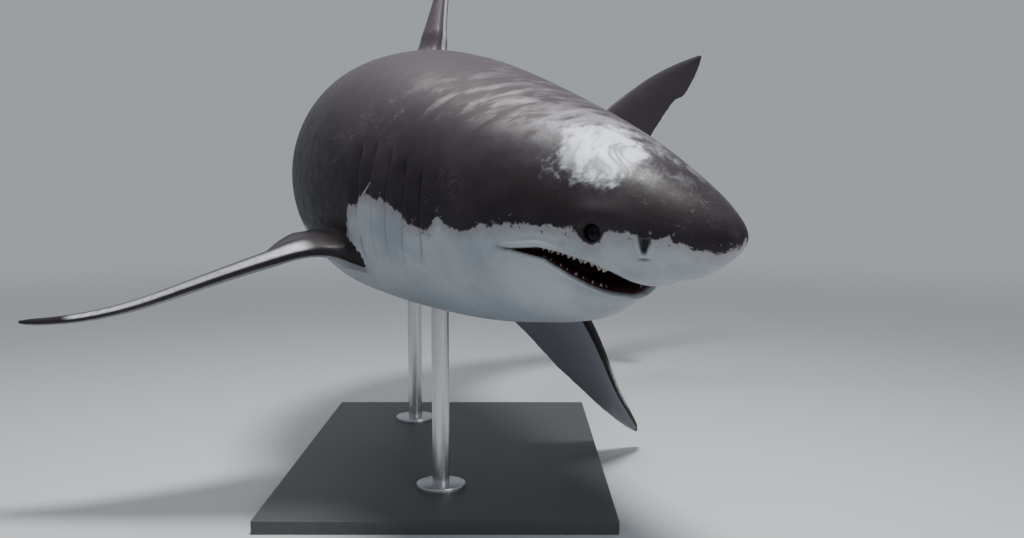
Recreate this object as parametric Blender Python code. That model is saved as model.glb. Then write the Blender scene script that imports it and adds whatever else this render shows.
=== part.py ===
"""Great white shark, still life-size model on a plain stand: a flat base and two rods.

Metres, Z up. The origin is the centre of the underside of the stand's base.
The animal is laid out in hundredths of its total length: s runs aft from the snout along a
bent spine, r to the animal's right, z up from the spine.
"""

import math

import bmesh
import bpy
import numpy as np

TOTAL_LENGTH = 4.5
UNIT = TOTAL_LENGTH / 100
GAP = 0.0003 / UNIT

# Pose. The spine starts at the snout and bends to one side; angles in degrees.
ORIGIN = (0.24, -3.92, 1.10)
SNOUT = (12.0, 52.2, 1.57)
TIP = 5.0
HEADING = 48.5
BEND = ((0, 0), (4, 0), (8, 0.47), (16, 0.51), (24, 0.76), (32, 1.13), (40, 1.52), (50, 1.79),
        (60, 1.97), (72, 2.08), (100, 2.08))
PITCH = ((0, -4.6), (6, -7.6), (12, -10.4), (20, -11.8), (45, -4.2), (85, 1.0), (100, 1.0))
ROLL = ((0, 2.3), (30, -4.3), (60, -15.3), (85, -20.0), (100, -20.0))

# Cross-sections of the body: station, height above the spine, depth below it, half width.
SECTIONS = (
    (0, 0, 0, 0),  # snout tip
    (1, 1.4, 1.25, 1.4),
    (3, 2.75, 2.4, 2.85),
    (5.2, 3.95, 2.95, 3.95),  # front of the mouth
    (7, 4.8, 4.0, 4.7),  # eyes
    (9, 5.6, 5.5, 5.35),
    (11, 6.25, 6.25, 5.9),  # mouth corners
    (14, 7.05, 7.0, 6.7),
    (18, 7.95, 7.9, 7.6),  # first gill slit
    (22, 8.7, 8.5, 8.3),
    (26, 9.25, 8.95, 8.85),  # pectoral fins
    (32, 9.65, 9.4, 9.4),
    (38, 9.65, 9.7, 9.45),  # first dorsal fin
    (44, 9.0, 9.4, 8.8),
    (50, 8.0, 8.6, 7.6),
    (56, 6.9, 7.3, 6.1),  # pelvic fins
    (63, 5.2, 5.5, 4.4),
    (70, 3.6, 3.6, 3.1),
    (76, 2.45, 2.3, 2.0),  # second dorsal and anal fins
    (81, 1.9, 1.7, 1.6),
    (84, 1.6, 1.5, 1.3),
    (87.6, 0.5, 0.5, 0.2),
)
KEEL = (79.5, 4.2, 1.0)  # station, half length, height of the ridge on each side of the stalk
PIT = (80.8, 0.8, 0.35)  # the notch above and below the stalk, in front of the caudal fin
RING = 30

# Where the body is parted.
PARTING = (("head", 0, 17), ("gill_region", 17, 27.2), ("trunk_front", 27.2, 41),
           ("trunk_rear", 41, 58), ("tail_base", 58, 72), ("tail_stalk", 72, 87.6))

# Fins: rows of span, leading edge, trailing edge.
DORSAL = ((8.0, 34.6, 45.2), (9.3, 35.7, 45.9), (10.0, 36.2, 47.2), (11.6, 37.4, 46.1),
          (14.0, 39.1, 45.3), (17.0, 41.4, 44.9), (19.0, 43.4, 45.1), (19.6, 44.5, 45.0))
DORSAL_2 = ((1.2, 73.6, 75.0), (2.8, 74.2, 75.3), (3.5, 74.7, 75.9), (4.0, 75.2, 75.7))
ANAL = ((1.2, 75.4, 76.8), (2.7, 76.0, 77.2), (3.5, 76.6, 77.9), (4.1, 77.2, 77.6))
CAUDAL_UP = ((0.004, -1.0, 8.2), (1.0, -0.8, 8.2), (1.8, -0.7, 8.2), (4.0, -0.4, 8.6),
             (7.2, 1.2, 9.8), (10.4, 3.8, 11.3), (12.0, 5.5, 12.3), (12.5, 6.1, 13.2),
             (14.4, 8.5, 14.1), (16.3, 11.8, 14.6), (17.4, 14.3, 14.7))
CAUDAL_DOWN = ((0.004, -1.0, 8.2), (1.0, -0.8, 8.2), (1.7, -0.4, 8.3), (4.0, 1.7, 8.7),
               (7.2, 4.4, 9.5), (10.4, 7.4, 10.6), (13.0, 10.3, 11.5), (13.8, 11.3, 11.6))
PECTORAL = ((-3.0, 0.0, 7.6), (0.0, 0.0, 9.0), (1.4, 0.35, 10.6), (3.3, 1.0, 11.2),
            (5.0, 1.5, 10.7), (7.7, 2.4, 10.1), (11.3, 3.8, 9.7), (14.9, 5.5, 9.5),
            (18.1, 7.1, 9.7), (20.4, 8.6, 9.9), (21.2, 9.4, 9.8))
PELVIC = ((-1.5, -0.3, 4.0), (0.0, 0.0, 4.6), (1.2, 0.6, 5.3), (2.8, 1.6, 5.0), (4.0, 3.0, 4.9),
          (4.4, 3.9, 4.7))
# Station, r and z of the front of the root; droop along the span; sweep; twist along the span.
DROOP_AT = (0, 5, 12, 22)
PECTORAL_SET = {"right": (25.8, 8.0, -5.3, (-5, 23, 25.8, 12.5), 4.3, (-2, 11.0, 12.0, 6.3)),
                "left": (25.1, 8.0, -5.2, (26.4, 35, 38.2, 24), -3.2, (21, 21.5, 25.6, 24.7))}
PELVIC_SET = (54.5, 3.4, -5.4, (42, 36, 36, 36), 6, (10, 10, 10, 10))
DORSAL_FOOT, DORSAL_LEAN = -0.5, 3
FIN_PROFILE = ((0, 0), (0.03, 0.42), (0.12, 0.80), (0.3, 1.0), (0.55, 0.80), (0.8, 0.38), (1, 0.05))

# Mouth: side view of the upper and the lower lip, and the solid floor of the mouth inside them.
UPPER_LIP = ((11.9, -1.97), (9.8, -1.5), (8.5, -1.58), (7.0, -1.88), (6.2, -2.35), (5.5, -3.15))
LOWER_LIP = ((6.95, -4.4), (7.0, -3.92), (7.3, -3.85), (7.6, -3.7), (7.9, -3.4), (8.25, -3.03),
             (8.7, -2.6), (9.5, -2.14), (11.9, -1.98))
CHIN = (8.0, 2.0, 0.30)  # station, half length, share by which the jaw narrows toward its underside
JAW_BACK = 14.6
FLOOR_FRONT, FLOOR_SHARE = 7.5, 0.74
TEETH_UP, TEETH_DOWN = 8, 8

EYE = (6.6, 4.08, -0.27, 0.56)  # station, r, z, radius
NOSTRIL = (4.0, 3.1, -0.65)
GILLS = (18.4, 20.0, 21.6, 23.2, 24.7)
GILL_TOP, GILL_BOTTOM = 2.2, -6.0

# Stand.
BASE = (1.15, 1.70, 0.045)
ROD_RADIUS, FOOT_RADIUS, FOOT_HEIGHT = 0.030, 0.085, 0.014
RODS = (("front", 30.0), ("rear", 53.0))


def curve(x, xs, ys):
    """Smooth curve through the points (xs, ys), with no overshoot."""
    x, xs, ys = (np.asarray(v, float) for v in (x, xs, ys))
    step = np.diff(xs)
    rise = np.diff(ys) / step
    same = rise[1:] * rise[:-1] > 0
    w1, w2 = 2 * step[1:] + step[:-1], step[1:] + 2 * step[:-1]
    safe = np.where(same, rise[1:] * rise[:-1], 1)
    inner = np.where(same, (w1 + w2) * safe / (w1 * rise[1:] + w2 * rise[:-1] + (~same)), 0)
    slope = np.concatenate([rise[:1], inner, rise[-1:]])
    x = np.clip(x, xs[0], xs[-1])
    k = np.clip(np.searchsorted(xs, x) - 1, 0, len(step) - 1)
    t = (x - xs[k]) / step[k]
    h = step[k]
    return (ys[k] * (1 + 2 * t) * (1 - t) ** 2 + slope[k] * h * t * (1 - t) ** 2
            + ys[k + 1] * t * t * (3 - 2 * t) + slope[k + 1] * h * t * t * (t - 1))


def spine():
    """Points and forward, right and up directions every quarter of a unit along the spine."""
    s = np.linspace(0, 100, 401)
    bend = curve(s, *zip(*BEND))
    yaw = np.radians(HEADING + np.concatenate([[0], np.cumsum((bend[1:] + bend[:-1]) / 2 * 0.25)]))
    pitch = np.radians(curve(s, *zip(*PITCH)))
    roll = np.radians(curve(s, *zip(*ROLL)))[:, None]
    ahead = np.stack([np.cos(yaw) * np.cos(pitch), -np.sin(yaw) * np.cos(pitch), np.sin(pitch)], -1)
    level = np.stack([-np.sin(yaw), -np.cos(yaw), np.zeros_like(yaw)], -1)
    above = np.cross(level, ahead)
    right = level * np.cos(roll) - above * np.sin(roll)
    up = above * np.cos(roll) + level * np.sin(roll)
    steps = np.cumsum((ahead[1:] + ahead[:-1]) / 2 * 0.25, 0)
    points = np.vstack([[SNOUT], np.array(SNOUT) - steps])
    c, d = math.cos(math.radians(TIP)), math.sin(math.radians(TIP))
    tip = np.array([[1, 0, 0], [0, c, -d], [0, d, c]])
    return s, points @ tip, ahead @ tip, right @ tip, up @ tip


SPINE = spine()


def frame(s):
    return [np.stack([np.interp(s, SPINE[0], v[:, k]) for k in range(3)], -1) for v in SPINE[1:]]


def place(s, r, z):
    """World position of the point r to the right of and z above the spine at station s."""
    point, _, right, up = frame(np.asarray(s, float))
    return (point + right * np.asarray(r)[..., None] + up * np.asarray(z)[..., None]) * UNIT + ORIGIN


def section(s, angle, grow=0.0, share=1.0):
    """r and z of the body's surface: angle 0 is the right flank and pi/2 the back."""
    q = np.sqrt([row[0] for row in SECTIONS])
    top, low, wide = (curve(np.sqrt(s), q, [row[k] for row in SECTIONS]) * share for k in (1, 2, 3))
    pit = PIT[2] * np.exp(-(((s - PIT[0]) / PIT[1]) ** 2))
    keel = KEEL[2] * np.exp(-(((s - KEEL[0]) / KEEL[1]) ** 4) - (np.sin(angle) / 0.3) ** 2)
    side, rise = np.cos(angle), np.sin(angle)
    chin = CHIN[2] * np.exp(-(((s - CHIN[0]) / CHIN[1]) ** 4)) * np.clip(-2.2 * rise - 1.1, 0, 1)
    tall = np.where(rise > 0, top, low) - pit * rise * rise
    return side * (wide * (1 - chin) + grow + keel), rise * (tall + grow)


def mesh_object(name, verts, faces, material=None):
    mesh = bpy.data.meshes.new(name)
    mesh.from_pydata([tuple(v) for v in np.asarray(verts, float)], [], faces)
    bm = bmesh.new()
    bm.from_mesh(mesh)
    bmesh.ops.remove_doubles(bm, verts=bm.verts, dist=1e-5)
    bmesh.ops.recalc_face_normals(bm, faces=bm.faces)
    bmesh.ops.triangulate(bm, faces=bm.faces)
    bm.to_mesh(mesh)
    bm.free()
    obj = bpy.data.objects.new(name, mesh)
    bpy.context.scene.collection.objects.link(obj)
    if material:
        mesh.materials.append(material)
    else:
        obj.hide_render, obj.display_type = True, "WIRE"
    return obj


def loft(name, rings, material=None):
    """Closed solid through rings of points, each ring closed on itself, with flat ends."""
    rings = np.asarray(rings, float)
    rows, n = rings.shape[:2]
    faces = []
    for i in range(rows - 1):
        for j in range(n):
            a, b = i * n + j, i * n + (j + 1) % n
            faces += [(a, b, b + n), (a, b + n, a + n)]
    faces += [tuple(range(n)), tuple((rows - 1) * n + j for j in range(n))]
    return mesh_object(name, rings.reshape(-1, 3), faces, material)


def boolean(obj, cutter, operation="DIFFERENCE"):
    modifier = obj.modifiers.new("cut", "BOOLEAN")
    modifier.operation, modifier.object, modifier.solver = operation, cutter, "EXACT"
    with bpy.context.temp_override(object=obj, active_object=obj):
        bpy.ops.object.modifier_apply(modifier=modifier.name)
    return obj


def stations(start, end, trim=0.0):
    """Rings of a length of the body, closer together toward the snout."""
    count = round((math.sqrt(end) - math.sqrt(start)) / 0.24) + 2
    return np.linspace(math.sqrt(start + trim), math.sqrt(end - trim), count) ** 2


def body(name, s, material=None, grow=0.0, share=1.0):
    """The body through rings at the stations s."""
    angle = np.linspace(0, 2 * math.pi, RING, endpoint=False)
    s, angle = np.meshgrid(s, angle, indexing="ij")
    r, z = section(s, angle, grow, share)
    return loft(name, place(s, r, z), material)


def fin_rings(rows, thick, put):
    """Rings of a fin: rows of span, leading and trailing edge; put places chord, span, thickness."""
    x, t = np.array(FIN_PROFILE).T
    around = np.concatenate([x, x[-1:0:-1]])
    half = np.concatenate([t, -t[-1:0:-1]])
    rings = []
    for k, (span, lead, trail) in enumerate(rows):
        width = thick(k / (len(rows) - 1), trail - lead) / 2
        rings.append(put(lead + (trail - lead) * around, span, np.maximum(width, 0.03) * half))
    return rings


def paired(side, settings):
    """Placing for a fin on one side: its blade leaves the body drooping and flattens outward."""
    station, r0, z0, droop, sweep, twist = settings
    hand = 1 if side == "right" else -1
    _, ahead, right, up = (v[0] for v in frame(np.array([station + 4.0])))
    right = right * hand
    root = place(np.array([station]), np.array([r0 * hand]), np.array([z0]))[0]
    t = np.linspace(0, 24, 97)
    lean, turn = (np.radians(curve(t, DROOP_AT, angles)) for angles in (droop, twist))
    out = np.concatenate([[0], np.cumsum((np.cos(lean[1:]) + np.cos(lean[:-1])) / 8)])
    down = np.concatenate([[0], np.cumsum((np.sin(lean[1:]) + np.sin(lean[:-1])) / 8)])

    def put(chord, span, thickness):
        tilt, pitch = np.interp(span, t, lean), np.interp(span, t, turn)
        far = np.interp(span, t, out) + min(span, 0) * math.cos(lean[0])
        low = np.interp(span, t, down) + min(span, 0) * math.sin(lean[0])
        normal = right * math.sin(tilt) + up * math.cos(tilt)
        aft = chord * math.cos(pitch) + span * math.tan(math.radians(sweep))
        lift = thickness - chord * math.sin(pitch)
        return root + UNIT * (right * far - up * low - ahead * aft[:, None] + normal * lift[:, None])

    return put


def upright(chord, span, thickness):
    """Placing for a fin on the middle line of the back, or of the belly with a negative span."""
    return place(chord, thickness, np.full_like(chord, span))


def leaning(chord, span, thickness):
    """Placing for the first dorsal fin, which leans out of the turn."""
    lean = DORSAL_FOOT - (span - DORSAL[1][0]) * math.tan(math.radians(DORSAL_LEAN))
    return upright(chord, span, thickness + lean)


def tail(sign):
    _, ahead, right, up = (v[0] for v in frame(np.array([82.0])))
    root = place(np.array([81.0]), np.zeros(1), np.zeros(1))[0]

    def put(chord, span, thickness):
        return root + UNIT * (up * sign * span - ahead * chord[:, None] + right * thickness[:, None])

    return put


def slab(name, outline, half_width):
    """Side-view outline, as stations and heights, made as wide as the head."""
    s, z = np.array(outline, float).T
    rings = [place(s, np.full_like(s, r), z) for r in (-half_width, half_width)]
    return loft(name, rings)


def ball(name, centre, radii, material=None, segments=16, rows=10):
    """Ellipsoid with radii along the animal's length, width and height."""
    station, r, z = centre
    theta = np.linspace(0, math.pi, rows + 1)[:, None]
    phi = np.linspace(0, 2 * math.pi, segments, endpoint=False)[None]
    s = station + radii[0] * np.sin(theta) * np.cos(phi)
    z = z + radii[2] * np.sin(theta) * np.sin(phi)
    rings = place(s, r + radii[1] * np.cos(theta) + 0 * phi, z)
    return loft(name, rings, material)


def lip_place(table, s, inset):
    """r and z on a lip line at station s, set in from the surface."""
    s_, z_ = zip(*sorted(table))
    z = np.interp(s, s_, z_)
    _, low = section(s, np.full_like(s, -math.pi / 2))
    r, _ = section(s, np.arcsin(np.clip(-z / low, -1, 1)))
    return np.maximum(r - inset, 0), z


def teeth(name, table, count, first, last, height, inset):
    """One row of pointed teeth along a lip, rooted inside it; height is negative downwards."""
    s = first + (last - first) * (np.linspace(0, 1, count)) ** 1.3
    r, z = lip_place(table, s, inset)
    verts, faces = [], []
    for hand in (1, -1):
        for k in range(count):
            size = 1 - 0.5 * k / count
            half, root = 0.22 * size, z[k] - math.copysign(0.30, height)
            tip = z[k] + height * size
            ring = ((-half, -0.13), (half, -0.13), (half, 0.13), (-half, 0.13))
            along = 1.0 if k else 0.35
            base = [(s[k] + a * along + b * (1 - along),
                     (r[k] + 0.12 + b * along + a * (1 - along)) * hand, root) for a, b in ring]
            at = len(verts)
            verts += base + [(s[k] + 0.06, (r[k] + 0.12) * hand, tip)]
            faces += [(at, at + 1, at + 2, at + 3)]
            faces += [(at + i, at + (i + 1) % 4, at + 4) for i in range(4)]
    return mesh_object(name, place(*np.array(verts).T), faces)


def gill(name, station, hand):
    """Cutter for one gill slit: a thin curved blade let into the flank."""
    z = np.linspace(GILL_TOP, GILL_BOTTOM, 9)
    t = np.linspace(0, 1, 9)
    s = station + 0.9 * t ** 1.6 - 0.5 * np.sin(math.pi * t)
    tall, _ = section(s, np.zeros_like(s))
    high, low = (section(s, np.full_like(s, a))[1] for a in (math.pi / 2, -math.pi / 2))
    surface = tall * np.sqrt(1 - (z / np.where(z > 0, high, low)) ** 2)
    half = 0.10 * np.sin(math.pi * (0.08 + 0.84 * t))
    rings = [place(np.array([a - w, a + w, a + w + 0.12, a - w + 0.12]),
                   hand * np.array([b + 0.5, b + 0.5, b - 0.32, b - 0.32]), np.full(4, c))
             for a, b, c, w in zip(s, surface, z, half)]
    return loft(name, rings)


def material(name, colour, roughness, metallic=0.0):
    made = bpy.data.materials.new(name)
    made.use_nodes = True
    shader = made.node_tree.nodes["Principled BSDF"]
    shader.inputs["Base Color"].default_value = (*colour, 1)
    shader.inputs["Roughness"].default_value = roughness
    shader.inputs["Metallic"].default_value = metallic
    return made


def make_head(skin):
    rings = stations(0, 17)
    rings[-1] -= GAP
    head = body("head", rings, skin)
    upper = list(UPPER_LIP)
    below = [(5.2, -5.0), (5.2, -12), (JAW_BACK, -12)]
    shift = [(s - GAP, z - GAP) for s, z in upper]
    jaw = body("lower_jaw", rings, skin)
    boolean(head, slab("jaw_space", upper + below, 10))
    boolean(jaw, slab("jaw_part", shift + [(5.1, -5.0), (5.1, -12.5), (JAW_BACK - GAP, -12.5)], 11),
            "INTERSECT")
    slot = slab("mouth_slot", [(s, z + 0.4) for s, z in upper] + [(5.0, -3.0), (5.0, -6), (6.3, -6)]
                + list(LOWER_LIP), 12)
    boolean(slot, body("mouth_floor", stations(FLOOR_FRONT, 16), share=FLOOR_SHARE))
    boolean(jaw, slot)
    boolean(head, teeth("upper_teeth", UPPER_LIP, TEETH_UP, 6.5, 9.6, -0.36, 0.70), "UNION")
    boolean(jaw, teeth("lower_teeth", LOWER_LIP, TEETH_DOWN, 7.75, 9.5, 0.30, 0.95), "UNION")
    return head


def main():
    for obj in list(bpy.data.objects):
        bpy.data.objects.remove(obj)
    skin = material("shark_skin", (0.20, 0.19, 0.20), 0.42)
    eye = material("eye", (0.008, 0.008, 0.010), 0.08)
    base_paint = material("base_paint", (0.10, 0.10, 0.11), 0.45)
    steel = material("rod_steel", (0.55, 0.55, 0.56), 0.30, 1.0)

    head = make_head(skin)
    for side, hand in (("right", 1), ("left", -1)):
        station, r, z, radius = EYE
        ball("eye_" + side, (station, r * hand, z), (radius,) * 3, eye)
        grown = (radius + 2 * GAP,) * 3
        boolean(head, ball("socket_" + side, (station, r * hand, z), grown))
        boolean(head, ball("nostril_" + side, (NOSTRIL[0], NOSTRIL[1] * hand, NOSTRIL[2]),
                           (0.28, 0.42, 0.55), segments=12, rows=8))
    for name, start, end in PARTING[1:]:
        part = body(name, stations(start, end, GAP), skin)
        if name == "gill_region":
            for k, station in enumerate(GILLS):
                for hand in (1, -1):
                    boolean(part, gill(f"slit_{k}_{hand}", station, hand))

    rings = {
        "first_dorsal_fin": fin_rings(DORSAL, lambda k, c: 0.14 * c + 0.2 + 4.4 * math.exp(-5.5 * k),
                                      leaning),
        "second_dorsal_fin": fin_rings(DORSAL_2, lambda k, c: 0.30 * c, upright),
        "anal_fin": fin_rings([(-a, b, c) for a, b, c in ANAL], lambda k, c: 0.30 * c, upright),
        "caudal_upper_lobe": fin_rings(CAUDAL_UP, lambda k, c: 0.6 + 1.0 * (1 - k) ** 1.5, tail(1)),
        "caudal_lower_lobe": fin_rings(CAUDAL_DOWN, lambda k, c: 0.5 + 1.1 * (1 - k) ** 1.5, tail(-1)),
    }
    for side in ("right", "left"):
        rings["pectoral_fin_" + side] = fin_rings(
            PECTORAL, lambda k, c: min(0.45 + 1.35 * (1 - k) ** 1.2, 0.45 * c + 0.05),
            paired(side, PECTORAL_SET[side]))
        rings["pelvic_fin_" + side] = fin_rings(PELVIC, lambda k, c: 0.12 * c + 0.1,
                                                paired(side, PELVIC_SET))
    whole = body("whole_body", np.unique(np.concatenate([stations(a, b) for _, a, b in PARTING])),
                 grow=2 * GAP)
    for name, points in rings.items():
        boolean(loft(name, points, skin), whole)

    width, depth, height = BASE
    outline = [(x, y) for x in (-width / 2, width / 2) for y in (-depth / 2, depth / 2)]
    corners = [(x, y, z) for z in (0, height) for x, y in outline]
    mesh_object("stand_base", corners, [(0, 1, 3, 2), (4, 5, 7, 6), (0, 1, 5, 4), (2, 3, 7, 6),
                                        (0, 2, 6, 4), (1, 3, 7, 5)], base_paint)
    turn = np.linspace(0, 2 * math.pi, 32, endpoint=False)
    for name, station in RODS:
        x, y, z = place(np.array([station]), np.zeros(1), np.zeros(1))[0]
        low = height + 0.0003
        top = low + FOOT_HEIGHT
        foot = ((FOOT_RADIUS, low), (FOOT_RADIUS, top - 0.003), (FOOT_RADIUS - 0.003, top))
        rod = ((ROD_RADIUS, top + 0.0003), (ROD_RADIUS, z))
        for kind, profile in (("foot", foot), ("rod", rod)):
            rings = [np.stack([x + a * np.cos(turn), y + a * np.sin(turn), np.full(32, b)], -1)
                     for a, b in profile]
            made = loft(f"stand_{kind}_{name}", rings, steel)
            if kind == "rod":
                boolean(made, whole)


main()
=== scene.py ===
"""Looks of the great white shark model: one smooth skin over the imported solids, eyes, teeth, stand."""

import math

import bmesh
import bpy
import numpy as np
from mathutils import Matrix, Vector
from mathutils.kdtree import KDTree


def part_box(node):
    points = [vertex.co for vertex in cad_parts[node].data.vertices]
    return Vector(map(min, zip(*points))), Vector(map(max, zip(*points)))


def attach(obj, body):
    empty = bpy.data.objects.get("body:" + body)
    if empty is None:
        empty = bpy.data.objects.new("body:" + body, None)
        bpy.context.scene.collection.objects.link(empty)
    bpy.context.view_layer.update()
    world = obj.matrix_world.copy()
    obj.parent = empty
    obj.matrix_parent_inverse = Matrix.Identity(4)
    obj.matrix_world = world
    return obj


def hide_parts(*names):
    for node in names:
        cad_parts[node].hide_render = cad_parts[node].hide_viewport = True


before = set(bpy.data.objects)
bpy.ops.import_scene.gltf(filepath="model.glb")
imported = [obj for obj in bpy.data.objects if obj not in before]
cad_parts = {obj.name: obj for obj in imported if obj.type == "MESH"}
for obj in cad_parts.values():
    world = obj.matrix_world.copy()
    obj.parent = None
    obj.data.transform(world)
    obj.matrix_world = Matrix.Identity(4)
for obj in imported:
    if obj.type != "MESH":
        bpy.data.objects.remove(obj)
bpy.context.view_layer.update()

# ---------------------------------------------------------------- sizes
# As in the solids, in hundredths of the length, but for the tail's lobes, which overlap at their roots.
UNIT = 4.5 / 100
ORIGIN = (0.24, -3.92, 1.10)
SNOUT = (12.0, 52.2, 1.57)
TIP = 5.0
HEADING = 48.5
BEND = ((0, 0), (4, 0), (8, 0.47), (16, 0.51), (24, 0.76), (32, 1.13), (40, 1.52), (50, 1.79),
        (60, 1.97), (72, 2.08), (100, 2.08))
PITCH = ((0, -4.6), (6, -7.6), (12, -10.4), (20, -11.8), (45, -4.2), (85, 1.0), (100, 1.0))
ROLL = ((0, 2.3), (30, -4.3), (60, -15.3), (85, -20.0), (100, -20.0))
# Station, height above the spine, depth below it, half the width.
SECTIONS = (
    (0, 0, 0, 0), (1, 1.4, 1.25, 1.4), (3, 2.75, 2.4, 2.85), (5.2, 3.95, 2.95, 3.95),
    (7, 4.8, 4.0, 4.7), (9, 5.6, 5.5, 5.35), (11, 6.25, 6.25, 5.9), (14, 7.05, 7.0, 6.7),
    (18, 7.95, 7.9, 7.6), (22, 8.7, 8.5, 8.3), (26, 9.25, 8.95, 8.85), (32, 9.65, 9.4, 9.4),
    (38, 9.65, 9.7, 9.45), (44, 9.0, 9.4, 8.8), (50, 8.0, 8.6, 7.6), (56, 6.9, 7.3, 6.1),
    (63, 5.2, 5.5, 4.4), (70, 3.6, 3.6, 3.1), (76, 2.45, 2.3, 2.0), (81, 1.9, 1.7, 1.6),
    (84, 1.6, 1.5, 1.3), (87.6, 0.5, 0.5, 0.2))
# Station, length and size of the keel on the tail stalk, and of the pits before the tail.
KEEL = (79.5, 4.2, 1.0)
PIT = (80.8, 0.8, 0.35)
# Fin outlines: span, front edge, rear edge.
DORSAL = ((8.0, 34.6, 45.2), (9.3, 35.7, 45.9), (10.0, 36.2, 47.2), (11.6, 37.4, 46.1),
          (14.0, 39.1, 45.3), (17.0, 41.4, 44.9), (19.0, 43.4, 45.1), (19.6, 44.5, 45.0))
DORSAL_2 = ((1.2, 73.6, 75.0), (2.8, 74.2, 75.3), (3.5, 74.7, 75.9), (4.0, 75.2, 75.7))
ANAL = ((1.2, 75.4, 76.8), (2.7, 76.0, 77.2), (3.5, 76.6, 77.9), (4.1, 77.2, 77.6))
CAUDAL_UP = ((-0.3, -1.0, 8.2), (1.0, -0.8, 8.2), (1.8, -0.7, 8.2), (4.0, -0.4, 8.6),
             (7.2, 1.2, 9.8), (10.4, 3.8, 11.3), (12.0, 5.5, 12.3), (12.5, 6.1, 13.2),
             (14.4, 8.5, 14.1), (16.3, 11.8, 14.6), (17.4, 14.3, 14.7))
CAUDAL_DOWN = ((-0.3, -1.0, 8.2), (1.0, -0.8, 8.2), (1.7, -0.4, 8.3), (4.0, 1.7, 8.7),
               (7.2, 4.4, 9.5), (10.4, 7.4, 10.6), (13.0, 10.3, 11.5), (13.8, 11.3, 11.6))
PECTORAL = ((-3.0, 0.0, 7.6), (0.0, 0.0, 9.0), (1.4, 0.35, 10.6), (3.3, 1.0, 11.2),
            (5.0, 1.5, 10.7), (7.7, 2.4, 10.1), (11.3, 3.8, 9.7), (14.9, 5.5, 9.5),
            (18.1, 7.1, 9.7), (20.4, 8.6, 9.9), (21.2, 9.4, 9.8))
PELVIC = ((-1.5, -0.3, 4.0), (0.0, 0.0, 4.6), (1.2, 0.6, 5.3), (2.8, 1.6, 5.0), (4.0, 3.0, 4.9),
          (4.4, 3.9, 4.7))
# Paired fins: station, side and height of the root, droop at the spans DROOP_AT, sweep, twist.
DROOP_AT = (0, 5, 12, 22)
PECTORAL_SET = {"right": (25.8, 8.0, -5.3, (-5, 23, 25.8, 12.5), 4.3, (-2, 11.0, 12.0, 6.3)),
                "left": (25.1, 8.0, -5.2, (26.4, 35, 38.2, 24), -3.2, (21, 21.5, 25.6, 24.7))}
PELVIC_SET = (54.5, 3.4, -5.4, (42, 36, 36, 36), 6, (10, 10, 10, 10))
DORSAL_FOOT, DORSAL_LEAN = -0.5, 3
SPINE_STEP = 0.25
FIN_PROFILE = ((0, 0), (0.03, 0.42), (0.12, 0.80), (0.3, 1.0), (0.55, 0.80), (0.8, 0.38), (1, 0.05))
# Lips, as station and height. The gap between them is the mouth.
UPPER_LIP = ((11.9, -1.97), (9.8, -1.5), (8.5, -1.58), (7.0, -1.88), (6.2, -2.35), (5.5, -3.15))
LOWER_LIP = ((6.95, -4.4), (7.0, -3.92), (7.3, -3.85), (7.6, -3.7), (7.9, -3.4), (8.25, -3.03),
             (8.7, -2.6), (9.5, -2.14), (11.9, -1.98))
CHIN = (8.0, 2.0, 0.30)
MOUTH_CENTRE, MOUTH_DEPTH = (11.0, -2.3), 1.9
EYE = (6.6, 4.08, -0.27, 0.56)  # station, side, height, radius
EYE_FORWARD = 0.18
NOSTRIL = (3.95, -0.55)  # station, height
SOCKET_DEPTH, NOSTRIL_DEPTH, SLIT_DEPTH = 0.50, 0.42, 0.26
GILLS = (18.4, 20.0, 21.6, 23.2, 24.7)
GILL_TOP, GILL_BOTTOM = 2.2, -6.0
GILL_ENDS = ((0.14, 0.80), (0.06, 0.88), (0.02, 0.93), (0.0, 0.97), (0.05, 1.02))
# The stand is in metres.
BASE = (1.15, 1.70, 0.045)
ROD_RADIUS, FOOT_RADIUS, FOOT_HEIGHT = 0.030, 0.085, 0.014
STAND_GAP = 0.0003
RODS = (("front", 30.0), ("rear", 53.0))

# Height of the border between the dark back and the pale belly, along the body.
BORDER = ((0, -0.2), (0.35, -0.6), (0.75, -0.88), (1.2, -0.9), (1.6, -0.8), (2.0, -0.6), (2.5, -0.3),
          (3.4, -0.2), (4.5, -0.1), (5.5, -0.02), (5.85, -0.15), (6.1, -0.6), (6.6, -0.92),
          (7.1, -0.8), (7.45, -0.4), (8.3, -0.25), (9.5, -0.28), (10.8, -0.42), (12.1, -0.7),
          (13.4, -1.0), (14.4, -1.45), (15.4, -1.47), (16.1, -1.3), (16.55, -0.95), (17.1, -1.6),
          (17.6, -2.1), (19.3, -1.95), (20.1, -1.5), (20.8, -1.3), (21.8, -1.15), (23.2, -0.95),
          (23.8, -1.05), (24.7, -1.8), (25.6, -2.2), (26.3, -3.6), (27.3, -5.2), (28.5, -6.0),
          (31, -6.6), (36, -5.4), (42, -4.3), (50, -3.3), (58, -2.2), (66, -1.4), (73, -0.9),
          (81, -0.7), (90, -0.7))
# Width of the painted highlight line behind the gills.
SLIT_GLINT_WIDTH = 0.09


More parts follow.
